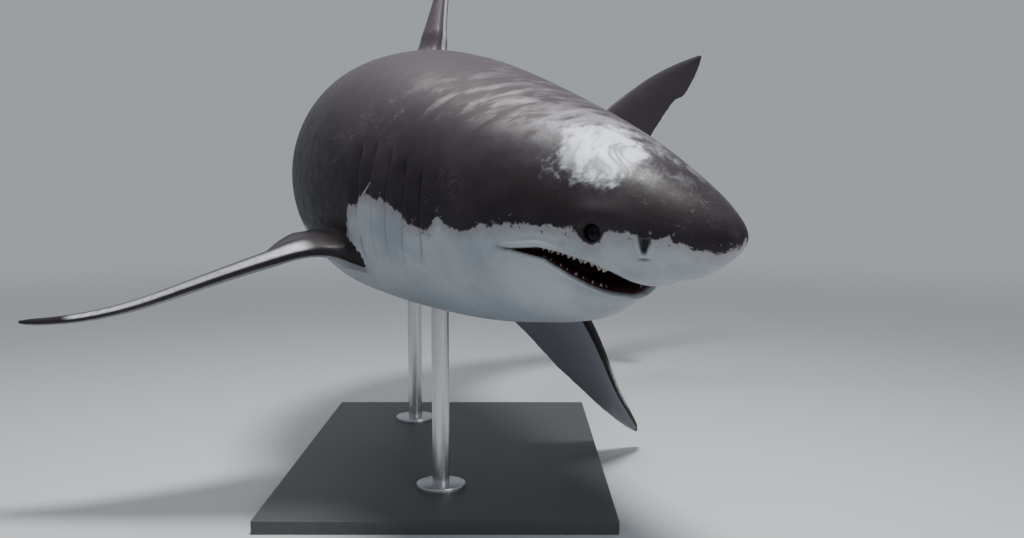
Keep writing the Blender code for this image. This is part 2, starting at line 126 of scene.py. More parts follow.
# ---------------------------------------------------------------- shape of the animal
def curve(x, xs, ys):
    """Smooth curve through the points (xs, ys), with no overshoot."""
    x, xs, ys = (np.asarray(v, float) for v in (x, xs, ys))
    step = np.diff(xs)
    rise = np.diff(ys) / step
    same = rise[1:] * rise[:-1] > 0
    w1, w2 = 2 * step[1:] + step[:-1], step[1:] + 2 * step[:-1]
    safe = np.where(same, rise[1:] * rise[:-1], 1)
    inner = np.where(same, (w1 + w2) * safe / (w1 * rise[1:] + w2 * rise[:-1] + (~same)), 0)
    slope = np.concatenate([rise[:1], inner, rise[-1:]])
    x = np.clip(x, xs[0], xs[-1])
    k = np.clip(np.searchsorted(xs, x) - 1, 0, len(step) - 1)
    t = (x - xs[k]) / step[k]
    h = step[k]
    return (ys[k] * (1 + 2 * t) * (1 - t) ** 2 + slope[k] * h * t * (1 - t) ** 2
            + ys[k + 1] * t * t * (3 - 2 * t) + slope[k + 1] * h * t * t * (t - 1))


def smooth(low, high, x):
    t = np.clip((np.asarray(x, float) - low) / (high - low), 0, 1)
    return t * t * (3 - 2 * t)


def bell(x, width):
    return np.exp(-((x / width) ** 2))


def spine():
    """Stations, points, and the directions ahead, right and up along the bent body."""
    s = np.linspace(0, 100, int(100 / SPINE_STEP) + 1)
    bend = curve(s, *zip(*BEND))
    turned = np.cumsum((bend[1:] + bend[:-1]) / 2 * SPINE_STEP)
    yaw = np.radians(HEADING + np.concatenate([[0], turned]))
    pitch = np.radians(curve(s, *zip(*PITCH)))
    roll = np.radians(curve(s, *zip(*ROLL)))[:, None]
    ahead = np.stack([np.cos(yaw) * np.cos(pitch), -np.sin(yaw) * np.cos(pitch), np.sin(pitch)], -1)
    level = np.stack([-np.sin(yaw), -np.cos(yaw), np.zeros_like(yaw)], -1)
    above = np.cross(level, ahead)
    right = level * np.cos(roll) - above * np.sin(roll)
    up = above * np.cos(roll) + level * np.sin(roll)
    steps = np.cumsum((ahead[1:] + ahead[:-1]) / 2 * SPINE_STEP, 0)
    points = np.vstack([[SNOUT], np.array(SNOUT) - steps])
    c, d = math.cos(math.radians(TIP)), math.sin(math.radians(TIP))
    tip = np.array([[1, 0, 0], [0, c, -d], [0, d, c]])
    return s, points @ tip, ahead @ tip, right @ tip, up @ tip


STATIONS, POINTS, AHEAD, RIGHT, UP = spine()


def at_station(s):
    """Point and directions of the spine at the stations s."""
    return [np.stack([curve(s, STATIONS, v[:, k]) for k in range(3)], -1) for v in (POINTS, AHEAD, RIGHT, UP)]


def place(s, r, z):
    """World position of the point r to the right of and z above the spine at station s."""
    point, _, right, up = at_station(np.asarray(s, float))
    return (point + right * np.asarray(r)[..., None] + up * np.asarray(z)[..., None]) * UNIT + ORIGIN


def section(s, angle):
    """Side and height of the trunk's outline at station s, angle from the right side upward."""
    q = np.sqrt([row[0] for row in SECTIONS])
    top, low, wide = (curve(np.sqrt(s), q, [row[k] for row in SECTIONS]) for k in (1, 2, 3))
    pit = PIT[2] * bell(s - PIT[0], PIT[1])
    keel = KEEL[2] * np.exp(-(((s - KEEL[0]) / KEEL[1]) ** 4)) * bell(np.sin(angle), 0.3)
    side, rise = np.cos(angle), np.sin(angle)
    chin = CHIN[2] * np.exp(-(((s - CHIN[0]) / CHIN[1]) ** 4)) * smooth(0.42, 1.03, -rise)
    tall = np.where(rise > 0, top, low) - pit * rise * rise
    return side * (wide * (1 - chin) + keel), rise * tall


def to_path(points, path):
    """Distance from points in the side view to a line of points."""
    best = np.full(points.shape[:-1], 1e9)
    for a, b in zip(path[:-1], path[1:]):
        a, b = np.array(a), np.array(b)
        t = np.clip(((points - a) @ (b - a)) / ((b - a) @ (b - a)), 0, 1)
        best = np.minimum(best, np.linalg.norm(points - a - t[..., None] * (b - a), axis=-1))
    return best


def inside(points, outline):
    """Whether points in the side view lie inside a closed outline."""
    x, y = points[..., 0], points[..., 1]
    found = np.zeros(x.shape, bool)
    for (x0, y0), (x1, y1) in zip(outline, outline[1:] + outline[:1]):
        if y0 != y1:
            found ^= ((y0 > y) != (y1 > y)) & (x < (x1 - x0) * (y - y0) / (y1 - y0) + x0)
    return found


def ripple(p, scale, seed, count=14):
    """Seeded smooth noise, about -1 to 1, from waves in many directions."""
    rng = np.random.default_rng(seed)
    total = np.zeros(p.shape[:-1])
    for _ in range(count):
        way = rng.normal(size=p.shape[-1])
        way *= rng.uniform(0.6, 1.6) / np.linalg.norm(way)
        total += np.sin(p @ way * (2 * math.pi / scale) + rng.uniform(0, 2 * math.pi))
    return total / math.sqrt(count) / 1.5


# ---------------------------------------------------------------- meshes
def add_mesh(name, verts, faces):
    mesh = bpy.data.meshes.new(name)
    mesh.from_pydata(np.asarray(verts, float).tolist(), [], faces)
    mesh.validate()
    obj = bpy.data.objects.new(name, mesh)
    bpy.context.scene.collection.objects.link(obj)
    mesh.polygons.foreach_set("use_smooth", [True] * len(mesh.polygons))
    return obj


def face_out(obj):
    """Turns all faces outward."""
    bm = bmesh.new()
    bm.from_mesh(obj.data)
    bmesh.ops.recalc_face_normals(bm, faces=bm.faces)
    bm.to_mesh(obj.data)
    bm.free()
    return obj


def ring_faces(rows, n, first=0):
    """Four-sided faces between rings of n points each."""
    i, j = np.meshgrid(np.arange(rows - 1), np.arange(n), indexing="ij")
    a, b = first + i * n + j, first + i * n + (j + 1) % n
    return np.stack([a, b, b + n, a + n], -1).reshape(-1, 4).tolist()


def closed_rings(rows, n, first=0):
    """The same, with a face over each end."""
    last = first + (rows - 1) * n
    return ring_faces(rows, n, first) + [tuple(range(first, first + n)), tuple(range(last, last + n))]


def unite(obj, other):
    modifier = obj.modifiers.new("join", "BOOLEAN")
    modifier.operation, modifier.object, modifier.solver = "UNION", other, "MANIFOLD"
    with bpy.context.temp_override(object=obj, active_object=obj):
        bpy.ops.object.modifier_apply(modifier=modifier.name)
    bpy.data.objects.remove(other)


def verts_of(obj):
    co = np.empty(len(obj.data.vertices) * 3, np.float32)
    obj.data.vertices.foreach_get("co", co)
    return co.reshape(-1, 3).astype(float)


def edges_of(obj):
    e = np.empty(len(obj.data.edges) * 2, np.int32)
    obj.data.edges.foreach_get("vertices", e)
    return e.reshape(-1, 2)


def keep_value(obj, name, values):
    """Stores one number per point, for the materials to read."""
    layer = obj.data.attributes.new(name, "FLOAT", "POINT")
    layer.data.foreach_set("value", values.astype(np.float32))


def tree_of(points):
    tree = KDTree(len(points))
    for k, point in enumerate(points):
        tree.insert(point, k)
    tree.balance()
    return tree


# ---------------------------------------------------------------- the trunk and head
# Marks kept with each point. The first two are of the head, the others of the fins.
MOUTH, RECESS_SHADE, FIN, SPAN, BLADE, CHORD = MARKS = range(6)


def gill_line(k, z):
    """Station of a gill slit at height z, and how far down the slit that is."""
    t = (GILL_TOP - z) / (GILL_TOP - GILL_BOTTOM)
    t01 = np.clip(t, 0, 1)
    return GILLS[k] + 0.9 * t01 ** 1.6 - 0.5 * np.sin(math.pi * t01), t


def add_recess_shade(recess_shade, amount):
    """Paints shade into a recess: the painted shade here is at least this strong."""
    np.maximum(recess_shade, amount, out=recess_shade)


def carve_eye_socket(out, recess_shade, s, z, flank):
    """A shallow socket with a soft rim and a low brow."""
    e = np.hypot(s - EYE[0], z - EYE[2]) + 9 * ~flank
    out += -SOCKET_DEPTH * (1 - smooth(0.34, 0.47, e)) + 0.05 * bell(e - 0.60, 0.13)
    out += 0.12 * bell(s - EYE[0] + 0.2, 1.4) * bell(z - EYE[2] - 1.15, 0.5) * flank
    # Painted shade in the socket around the eye.
    add_recess_shade(recess_shade, 1 - smooth(0.44, 0.60, e))


def carve_nostril(out, recess_shade, s, z, flank):
    """A drop-shaped opening, wide above and pointed below, with a flap along its front."""
    u = s - NOSTRIL[0] + 0.22 * (z - NOSTRIL[1])
    reach = np.clip((-0.12 - z) / 1.02, 0, 1)
    wide = 0.40 - 0.28 * reach
    ends = smooth(-0.02, -0.30, z) * smooth(-1.22, -1.02, z) * flank
    slit = bell(u / wide, 0.62) * smooth(-0.25, -0.55, z) * smooth(-1.2, -1.0, z) * flank
    out += -NOSTRIL_DEPTH * slit + 0.07 * bell(u + wide + 0.12, 0.16) * bell(z + 0.75, 0.4) * flank
    out += 0.05 * bell(u - wide - 0.12, 0.2) * bell(z + 0.7, 0.45) * flank
    # Painted shade inside the nostril.
    add_recess_shade(recess_shade, 0.92 * (1 - smooth(0.80, 1.12, np.abs(u) / wide)) * ends)
    below = z + 1.46
    groove = bell(s - 4.2 - 0.3 * below, 0.30) * bell(below + 0.12 * (s - 4.2), 0.075) * flank
    out += -0.10 * groove
    # Painted shade in the groove below the nostril.
    add_recess_shade(recess_shade, 0.75 * groove)


def carve_gill_slits(out, recess_shade, s, z, side):
    """Each flap lies over the next slit, and no two are quite alike."""
    for k, (start, end) in enumerate(GILL_ENDS):
        line, t = gill_line(k, z)
        window = smooth(start - 0.06, start + 0.10, t)
        window *= (1 - smooth(end - 0.14, end + 0.02, t)) * (side > 2.0)
        x = s - line - 0.07 * np.sin(7.0 * t + 2.1 * k) - 0.04 * np.sin(17.0 * t + k)
        wide = 0.075 * (0.75 + 0.45 * np.sin(3.0 * t + 1.7 * k) ** 2)
        cut = bell(x, wide) * window
        out += -SLIT_DEPTH * cut - 0.10 * smooth(1.1, 0.05, x) * smooth(-0.02, 0.05, x) * window
        out += 0.06 * window * smooth(-1.3, -0.1, x) * (1 - smooth(-0.10, 0.0, x))
        # Painted shade inside the slit.
        add_recess_shade(recess_shade, 0.8 * smooth(0.2, 0.85, cut))


def shape_jaw(out, recess_shade, s, z, flank):
    """Creases behind the corner of the mouth and along the lips, and the swell of the jaw muscle."""
    p = np.stack([s, z], -1)
    fold = to_path(p, ((11.7, -1.97), (12.3, -1.95), (12.8, -2.1)))
    out += -0.08 * bell(fold, 0.10) * (1 - smooth(11.9, 12.9, s)) * flank
    # Painted shade in the crease behind the corner of the mouth.
    add_recess_shade(recess_shade, 0.55 * bell(fold, 0.09) * (1 - smooth(11.8, 12.8, s)) * flank)
    out += 0.12 * bell(s - 13.6, 1.9) * bell(z + 2.9, 1.5) * flank
    for push, width, path in ((-0.06, 0.35, ((8.6, -3.7), (10.0, -3.3), (12.2, -3.3))),
                              (-0.05, 0.13, ((10.9, -1.2), (9.6, -0.95), (8.2, -1.0))),
                              (0.05, 0.2, ((8.0, -1.15), (6.9, -1.5), (6.1, -2.0)))):
        out += push * bell(to_path(p, path), width) * flank


def head_detail(s, r, z):
    """Push of the surface along its normal, and how much shade is painted into the place."""
    out, recess_shade = np.zeros_like(s), np.zeros_like(s)
    side = np.abs(r)
    flank = side > 1.0
    carve_eye_socket(out, recess_shade, s, z, flank)
    carve_nostril(out, recess_shade, s, z, flank)
    carve_gill_slits(out, recess_shade, s, z, side)
    shape_jaw(out, recess_shade, s, z, flank)
    return out, recess_shade


def mouth_push(s, r, z):
    """Moves the surface between the lips in toward the middle of the mouth."""
    p = np.stack([s, z], -1)
    outline = list(UPPER_LIP) + [(5.0, -3.6), (5.0, -7.0), (6.6, -7.0)] + list(LOWER_LIP)
    lips = np.minimum(to_path(p, UPPER_LIP), to_path(p, ((6.7, -6.0),) + LOWER_LIP))
    gap = np.where(inside(p, outline) & (z < 0), lips, -lips)
    open_ = 1 - np.exp(-np.maximum(gap, 0) / np.where(z < -3.3, 0.07, 0.12))
    way = np.stack([MOUTH_CENTRE[0] - s, -r, MOUTH_CENTRE[1] - z], -1)
    way /= np.linalg.norm(way, axis=-1, keepdims=True)
    move = way * (MOUTH_DEPTH * open_)[..., None]
    near = (np.abs(s - 8.5) < 4.5) & (z < -0.8)
    lip = np.where(near & (gap <= 0), 0.10 * bell(gap + 0.16, 0.16), 0)
    return s + move[..., 0], r + move[..., 1], z + move[..., 2], open_, lip


def body_rows():
    """Stations of the rings: close together over the mouth, eye and gills."""
    knots = (0.004, 1.0, 4.5, 12.6, 14.0, 17.3, 27.0, 30.0, 87.6)
    steps = (0.02, 0.06, 0.06, 0.06, 0.12, 0.075, 0.075, 0.24, 0.26)
    rows = [knots[0]]
    while rows[-1] < knots[-1]:
        s = rows[-1]
        at_tip = max(0.3 * s ** 0.75 * 0.35, 0.004)
        rows.append(s + at_tip if s < 0.15 else s + float(np.interp(s, knots, steps)))
    rows = np.array(rows)
    return np.append(rows[rows < knots[-1] - 0.05], knots[-1])


def make_body(n=400):
    """The trunk and head, with half as many points around it behind the gills."""
    s_rows = body_rows()
    coarse_from = int(np.searchsorted(s_rows, 29.0))
    t = np.linspace(0, 1, n, endpoint=False)
    # Twice as many points below the flank as above it.
    angle = -math.pi * (np.clip(t * 1.5, 0, 1) + np.clip(t * 3 - 2, 0, 1))
    s, angle = np.meshgrid(s_rows, angle, indexing="ij")
    r, z = section(s, angle)
    s2, r2, z2, mouth, lip = mouth_push(s, r, z)
    base, pushed = place(s, r, z), place(s2, r2, z2)
    along = np.gradient(base, axis=0)
    around = np.roll(base, -1, 1) - np.roll(base, 1, 1)
    normal = np.cross(around, along)
    normal /= np.maximum(np.linalg.norm(normal, axis=-1, keepdims=True), 1e-12)
    centre = place(s, 0 * s, 0 * s)
    normal *= np.sign(np.sum(normal * (base - centre), -1).sum())
    out, recess_shade = head_detail(s, r, z)
    # No detail inside the mouth.
    out = np.where(mouth > 0.02, 0, out + lip)
    pushed += normal * (out * UNIT)[..., None]
    marks = np.zeros(s.shape + (len(MARKS),))
    marks[..., MOUTH], marks[..., RECESS_SHADE] = mouth, recess_shade
    fine, thin = pushed[:coarse_from], pushed[coarse_from:, ::2]
    verts = np.vstack([fine.reshape(-1, 3), thin.reshape(-1, 3)])
    marks = np.vstack([v.reshape(-1, len(MARKS)) for v in (marks[:coarse_from], marks[coarse_from:, ::2])])
    faces = ring_faces(coarse_from, n)
    start = coarse_from * n
    rows, m = thin.shape[:2]
    faces += ring_faces(rows, m, start)
    last = start - n
    for j in range(m):
        a, b, c = last + 2 * j, last + 2 * j + 1, last + (2 * j + 2) % n
        d, e = start + j, start + (j + 1) % m
        faces += [(a, b, d), (b, e, d), (b, c, e)]
    faces += [tuple(range(n)), tuple(start + (rows - 1) * m + j for j in range(m))]
    return face_out(add_mesh("skin", verts, faces)), marks


# ---------------------------------------------------------------- fins
FIRST_DORSAL, SMALL_FIN, UPPER_LOBE, LOWER_LOBE, PECTORAL_FIN, PELVIC_FIN = range(1, 7)
THINNEST = 0.035


def paired(side, settings):
    """Places a pectoral or pelvic fin: its droop and twist change along the span."""
    station, r0, z0, droop, sweep, twist = settings
    hand = 1 if side == "right" else -1
    _, ahead, right, up = (v[0] for v in at_station(np.array([station + 4.0])))
    right = right * hand
    root = place(np.array([station]), np.array([r0 * hand]), np.array([z0]))[0]
    t = np.arange(0, 24 + SPINE_STEP, SPINE_STEP)
    lean, turn = (np.radians(curve(t, DROOP_AT, angles)) for angles in (droop, twist))
    out, down = (np.concatenate([[0], np.cumsum((v[1:] + v[:-1]) / 2 * SPINE_STEP)])
                 for v in (np.cos(lean), np.sin(lean)))

    def put(chord, span, thickness):
        tilt, pitch = np.interp(span, t, lean), np.interp(span, t, turn)
        far = np.interp(span, t, out) + min(span, 0) * math.cos(lean[0])
        low = np.interp(span, t, down) + min(span, 0) * math.sin(lean[0])
        normal = right * math.sin(tilt) + up * math.cos(tilt)
        aft = chord * math.cos(pitch) + span * math.tan(math.radians(sweep))
        lift = thickness - chord * math.sin(pitch)
        return root + UNIT * (right * far - up * low - ahead * aft[:, None] + normal * lift[:, None])

    return put


def upright(chord, span, thickness):
    """Places a fin that stands on the midline of the back or belly."""
    return place(chord, thickness, np.full_like(chord, span))


def leaning(chord, span, thickness):
    """Places the first dorsal fin, which leans a little to one side."""
    lean = DORSAL_FOOT - (span - DORSAL[1][0]) * math.tan(math.radians(DORSAL_LEAN))
    return upright(chord, span, thickness + lean)


def tail(sign):
    """Places a lobe of the tail: the upper one for sign 1, the lower one for sign -1."""
    _, ahead, right, up = (v[0] for v in at_station(np.array([82.0])))
    root = place(np.array([81.0]), np.zeros(1), np.zeros(1))[0]

    def put(chord, span, thickness):
        return root + UNIT * (up * sign * span - ahead * chord[:, None] + right * thickness[:, None])

    return put


def make_fin(name, kind, rows, thick, put, count, seed, fray, flare=None, sign=1, points=36):
    """One closed blade. fray nicks the trailing edge.

    flare thickens the root: by how much, over what span, and up to where in full.
    """
    rows = np.array(rows)
    k = np.linspace(0, 1, len(rows))
    fine = np.linspace(0, 1, count)
    # Rows end closely spaced at the tip, where the outline turns fastest.
    u = np.interp(fine, (0, 0.8, 1), (0, 0.88, 1)) * (len(rows) - 1)
    order = np.arange(len(rows))
    span, lead, trail = (curve(u, order, rows[:, c]) for c in range(3))
    shape = np.array(FIN_PROFILE)
    x = (1 - np.cos(np.linspace(0, math.pi, points))) / 2
    x = 0.6 * x + 0.4 * np.linspace(0, 1, points) ** 1.5
    t = np.sqrt(x) * curve(np.sqrt(x), np.sqrt(shape[1:, 0]), shape[1:, 1] / np.sqrt(shape[1:, 0]))
    t[0] = 0
    around = np.concatenate([x, x[-1:0:-1]])
    half = np.concatenate([t, -t[-1:0:-1]])
    edge = smooth(0.82, 1, around)
    rings, marks = [], np.zeros((count, len(around), len(MARKS)))
    marks[..., FIN], marks[..., SPAN] = kind, fine[:, None]
    marks[..., BLADE], marks[..., CHORD] = half / t.max(), around
    nick = ripple(fine[:, None] * 40, 3.1, seed) * 0.6 + ripple(fine[:, None] * 40, 1.2, seed + 1) * 0.4
    for i in range(count):
        reach = trail[i] - lead[i]
        width = np.interp(fine[i], k, [thick(v, c[2] - c[1]) for v, c in zip(k, rows)]) / 2
        if flare:
            width += flare[0] * math.exp(-max(span[i] - flare[2], 0) / flare[1]) / 2
        chord = lead[i] + reach * around
        live = smooth(0.12, 0.35, fine[i]) * (1 - smooth(0.9, 1.0, fine[i]))
        chord = chord + edge * fray * nick[i] * live * min(1, reach / 3)
        rings.append(put(chord, sign * span[i], np.maximum(width, THINNEST) * half))
    fin = add_mesh(name, np.vstack(rings), closed_rings(count, len(around)))
    return face_out(fin), marks.reshape(-1, len(MARKS))


def pectoral_thickness(k, c):
    return min(0.2 + 1.6 * (1 - k), 0.45 * c + 0.05)


# Name, kind, outline, thickness at the part k of the span where the chord is c, placing, rows, the rest.
FINS = (
    ("dorsal_1", FIRST_DORSAL, DORSAL, lambda k, c: 0.14 * c + 0.2 + 4.4 * math.exp(-5.5 * k),
     leaning, 90, dict(fray=0.08, flare=(0.8, 0.8, 9.2))),
    ("dorsal_2", SMALL_FIN, DORSAL_2, lambda k, c: 0.30 * c, upright, 24,
     dict(fray=0.02, flare=(0.5, 0.3, 1.9))),
    ("anal", SMALL_FIN, ANAL, lambda k, c: 0.30 * c, upright, 24,
     dict(fray=0.02, flare=(0.5, 0.3, 1.9), sign=-1)),
    ("caudal_up", UPPER_LOBE, CAUDAL_UP, lambda k, c: 0.6 + 1.0 * (1 - k) ** 1.5, tail(1), 110,
     dict(fray=0.06)),
    ("caudal_down", LOWER_LOBE, CAUDAL_DOWN, lambda k, c: 0.5 + 1.1 * (1 - k) ** 1.5, tail(-1), 90,
     dict(fray=0.05)),
    ("pectoral_right", PECTORAL_FIN, PECTORAL, pectoral_thickness,
     paired("right", PECTORAL_SET["right"]), 130, dict(fray=0.06, flare=(1.3, 0.7, -0.6))),
    ("pectoral_left", PECTORAL_FIN, PECTORAL, pectoral_thickness,
     paired("left", PECTORAL_SET["left"]), 130, dict(fray=0.06, flare=(1.3, 0.7, -0.6))),
    ("pelvic_right", PELVIC_FIN, PELVIC, lambda k, c: 0.12 * c + 0.1, paired("right", PELVIC_SET), 36,
     dict(fray=0.04, flare=(0.5, 0.4, -0.2))),
    ("pelvic_left", PELVIC_FIN, PELVIC, lambda k, c: 0.12 * c + 0.1, paired("left", PELVIC_SET), 36,
     dict(fray=0.04, flare=(0.5, 0.4, -0.2))),
)


def blend_seams(obj, fresh, reach=0.085, rounds=40):
    """Rounds the joints between fins and body: points near a join are averaged with their neighbours."""
    co, edges = verts_of(obj), edges_of(obj)
    tree = tree_of(co[fresh])
    low, high = co[fresh].min(0) - reach, co[fresh].max(0) + reach
    near = np.where(((co > low) & (co < high)).all(1))[0]
    far = np.array([tree.find(co[i])[2] for i in near])
    keep = far < reach
    near, weight = near[keep], 1 - smooth(0.25, 1.0, far[keep] / reach)
    w = np.zeros(len(co))
    w[near] = weight
    e = edges[(w[edges] > 0).any(1)]
    degree = np.bincount(e.ravel(), minlength=len(co)).astype(float)
    for _ in range(rounds):
        total = np.stack([np.bincount(e[:, 0], co[e[:, 1], c], len(co))
                          + np.bincount(e[:, 1], co[e[:, 0], c], len(co)) for c in range(3)], -1)
        mean = total / np.maximum(degree, 1)[:, None]
        co = co + (mean - co) * (w * 0.6)[:, None]
    obj.data.vertices.foreach_set("co", co.astype(np.float32).ravel())
    obj.data.update()


def make_skin(moved=2e-5):
    """Body and fins in one skin. Points farther than moved from all the old ones are on a new joint."""
    skin, marks = make_body()
    originals, all_marks = [verts_of(skin)], [marks]
    for seed, (name, kind, rows, thick, put, count, more) in enumerate(FINS):
        fin, fin_marks = make_fin(name, kind, rows, thick, put, count, 10 * seed, **more)
        originals.append(verts_of(fin))
        all_marks.append(fin_marks)
        unite(skin, fin)
    source, marks = np.vstack(originals), np.vstack(all_marks)
    tree = tree_of(source)
    co = verts_of(skin)
    _, index, away = zip(*(tree.find(p) for p in co))
    marks = marks[np.array(index)]
    fresh = np.where(np.array(away) > moved)[0]
    blend_seams(skin, fresh)
    # The foot of the first dorsal fin is rounded most.
    station, _, rise = nearest_station(co[fresh])
    blend_seams(skin, fresh[(rise > 8) & (station < 50)], 0.13, 160)
    return skin, marks


def drop_spare_corners(obj):
    """Dissolves points with only two edges, left by the unions: cut into triangles they fold back."""
    bm = bmesh.new()
    bm.from_mesh(obj.data)
    for _ in range(3):
        bmesh.ops.dissolve_verts(bm, verts=[v for v in bm.verts if len(v.link_edges) == 2])
    bm.to_mesh(obj.data)
    bm.free()


def nearest_station(co, batch=20000):
    """Station, side and rise of any point, from the nearest cross-section of the spine."""
    points = POINTS * UNIT + ORIGIN
    station, side, rise = (np.empty(len(co)) for _ in range(3))
    for start in range(0, len(co), batch):
        part = slice(start, start + batch)
        k = np.argmin(((co[part, None] - points[None]) ** 2).sum(-1), 1)
        offset = (co[part] - points[k]) / UNIT
        station[part] = STATIONS[k] - np.sum(offset * AHEAD[k], 1)
        side[part] = np.sum(offset * RIGHT[k], 1)
        rise[part] = np.sum(offset * UP[k], 1)
    return station, side, rise


def paint_marks(obj, marks):
    """Writes the values that the skin's material reads."""
    co = verts_of(obj)
    s, side, rise = nearest_station(co)
    mouth, recess_shade, fin, span, blade, chord = marks.T
    # Tone is the height above the border: below zero pale, above it dark.
    tone = rise - curve(s, *zip(*BORDER))
    tone += smooth(28, 34, s) * (0.45 * ripple(s[:, None], 11.0, 7) + 0.2 * ripple(s[:, None], 4.0, 8))
    # A thin pale line runs up from the border behind the gills: a painted highlight on a gill slit's rim.
    slit_glint = to_path(np.stack([s, rise], -1), ((23.75, -1.1), (23.2, -0.2), (22.5, 0.95)))
    tone = np.where((slit_glint < SLIT_GLINT_WIDTH) & (fin == 0), tone * (slit_glint / SLIT_GLINT_WIDTH) ** 2 - 0.12, tone)
    tone = np.where(fin == FIRST_DORSAL, 4.0, tone)
    tone = np.where(fin == SMALL_FIN, 2.5 * np.sign(rise), tone)
    tone = np.where(fin == UPPER_LOBE, 3.5, tone)
    tone = np.where(fin == LOWER_LOBE, 2.2, tone)
    # Pectoral fins: dark above, along the front and at the tip, pale below.
    under = -2.4 + 3.6 * smooth(0.80, 0.93, span) + 1.5 * smooth(0.93, 1.0, chord)
    rim = np.where(chord < 0.5, smooth(-0.55, 0.15, blade), blade > 0)
    rim = np.maximum(rim, smooth(0.075, 0.045, chord))
    tone = np.where(fin == PECTORAL_FIN, under * (1 - rim) + 3.0 * rim, tone)
    tone = np.where(fin == PELVIC_FIN, np.where(blade > 0, 1.6, -2.5), tone)
    # Painted highlights along the front edges: the right pectoral fin, the left one, the first dorsal fin.
    reach = smooth(0.21, 0.27, span) * smooth(0.745, 0.715, span) * (0.6 + 1.8 * np.abs(span - 0.49))
    edge_glint = np.where((fin == PECTORAL_FIN) & (side > 0), reach * smooth(0.02, 0.25, blade), 0)
    reach = smooth(0.54, 0.60, span) * smooth(0.73, 0.68, span) * smooth(0.10, 0.06, chord)
    reach = 0.7 * reach * smooth(-0.34, -0.12, blade) * smooth(0.45, 0.2, blade)
    edge_glint = np.where((fin == PECTORAL_FIN) & (side < 0), reach, edge_glint)
    reach = smooth(0.18, 0.26, span) * smooth(0.9, 0.7, span) * smooth(0.15, 0.09, chord)
    edge_glint = np.where(fin == FIRST_DORSAL, 0.8 * reach * smooth(-0.34, -0.50, blade), edge_glint)
    for name, values in (("tone", np.clip(tone, -5, 6)), ("mouth", mouth), ("recess_shade", recess_shade), ("station", s),
                         ("rise", rise), ("side", side), ("fin", fin), ("span", span), ("chord", chord),
                         ("edge_glint", edge_glint)):
        keep_value(obj, name, values)


# ---------------------------------------------------------------- materials
BACK_DARK, BACK_MID, BACK_TOP_PAINTED_LIGHT = (0.015, 0.011, 0.013), (0.030, 0.023, 0.026), (0.045, 0.036, 0.040)
# Painted sunlight: the streak colour paints sun highlights along the back, and the patch colour paints sun
# glare on the nape.
PAINTED_SUN_STREAK, PAINTED_GLARE = (0.20, 0.185, 0.195), (0.60, 0.64, 0.68)
BELLY, BELLY_GREY_AND_UNDERSHADE = (0.37, 0.40, 0.43), (0.25, 0.28, 0.31)
BELLY_EDGE, STAIN, FIN_UNDERSIDE_SHADE = (0.27, 0.265, 0.28), (0.22, 0.20, 0.20), (0.17, 0.165, 0.19)
# The first colour here is a painted highlight for the fins' front edges; scratches and pores are the skin's
# own.
PAINTED_EDGE_GLINT, SCRATCH, PORE = (0.62, 0.62, 0.64), (0.30, 0.28, 0.29), (0.05, 0.045, 0.045)
# Painted shade for the recesses, the gum's own colour, and painted shade deep in the throat.
PAINTED_RECESS_SHADE, GUM, PAINTED_THROAT_SHADE = (0.014, 0.010, 0.011), (0.060, 0.022, 0.026), (0.012, 0.004, 0.005)
SCRATCH_TURN = (0.3, 0.5, 0.9)
# Where the painted sun glare on the nape lies, and its size.
GLARE_AT, GLARE_SIZE = (7.9, 2.65), (2.55, 1.95)  # both along the body and across it


class Nodes:
    """Short way of writing a node material."""

    def __init__(self, name):
        self.material = bpy.data.materials.new(name)
        self.material.use_nodes = True
        self.tree = self.material.node_tree
        self.shader = self.tree.nodes["Principled BSDF"]
        self.where = self.node("ShaderNodeTexCoord", "Object")

    def put(self, socket, value):
        if isinstance(value, bpy.types.NodeSocket):
            self.tree.links.new(value, socket)
        elif isinstance(value, (tuple, list)) and len(value) == 3 and socket.type == "RGBA":
            socket.default_value = (*value, 1)
        else:
            socket.default_value = value

    def node(self, kind, out=0, settings=None, **inputs):
        made = self.tree.nodes.new(kind)
        for key, value in (settings or {}).items():
            setattr(made, key, value)
        for key, value in inputs.items():
            self.put(made.inputs[int(key[1:]) if key[0] == "i" and key[1:].isdigit() else key], value)
        return made.outputs[out]

    def math(self, operation, a, b=0.0, c=0.0):
        return self.node("ShaderNodeMath", settings=dict(operation=operation), i0=a, i1=b, i2=c)

    def times(self, value, *others):
        for other in others:
            value = self.math("MULTIPLY", value, other)
        return value

    def centred(self, noise):
        return self.math("SUBTRACT", noise, 0.5)

    def attribute(self, name):
        return self.node("ShaderNodeAttribute", "Fac", dict(attribute_name=name))

    def noise(self, scale, detail, rough, vector=None, distortion=0.0):
        return self.node("ShaderNodeTexNoise", "Fac", Vector=vector or self.where, Scale=scale, Detail=detail,
                         Roughness=rough, Distortion=distortion)

    def stretched(self, scale, turn=(0.0, 0.0, 0.0)):
        return self.node("ShaderNodeMapping", Vector=self.where, Scale=scale, Rotation=turn)

    def step(self, value, low, high, to=(0.0, 1.0)):
        made = self.tree.nodes.new("ShaderNodeMapRange")
        made.interpolation_type = "SMOOTHSTEP"
        for k, v in enumerate((value, low, high, *to)):
            self.put(made.inputs[k], v)
        return made.outputs[0]

    def mix(self, fac, a, b):
        made = self.tree.nodes.new("ShaderNodeMix")
        made.data_type = "RGBA"
        for k, v in ((0, fac), (6, a), (7, b)):
            self.put(made.inputs[k], v)
        return made.outputs[2]

    def set(self, **values):
        for key, value in values.items():
            self.put(self.shader.inputs[key.replace("_", " ")], value)

    def bump(self, height, distance, strength=1.0, normal=None):
        more = {"Normal": normal} if normal else {}
        more.update(Height=height, Distance=distance, Strength=strength)
        return self.node("ShaderNodeBump", "Normal", **more)


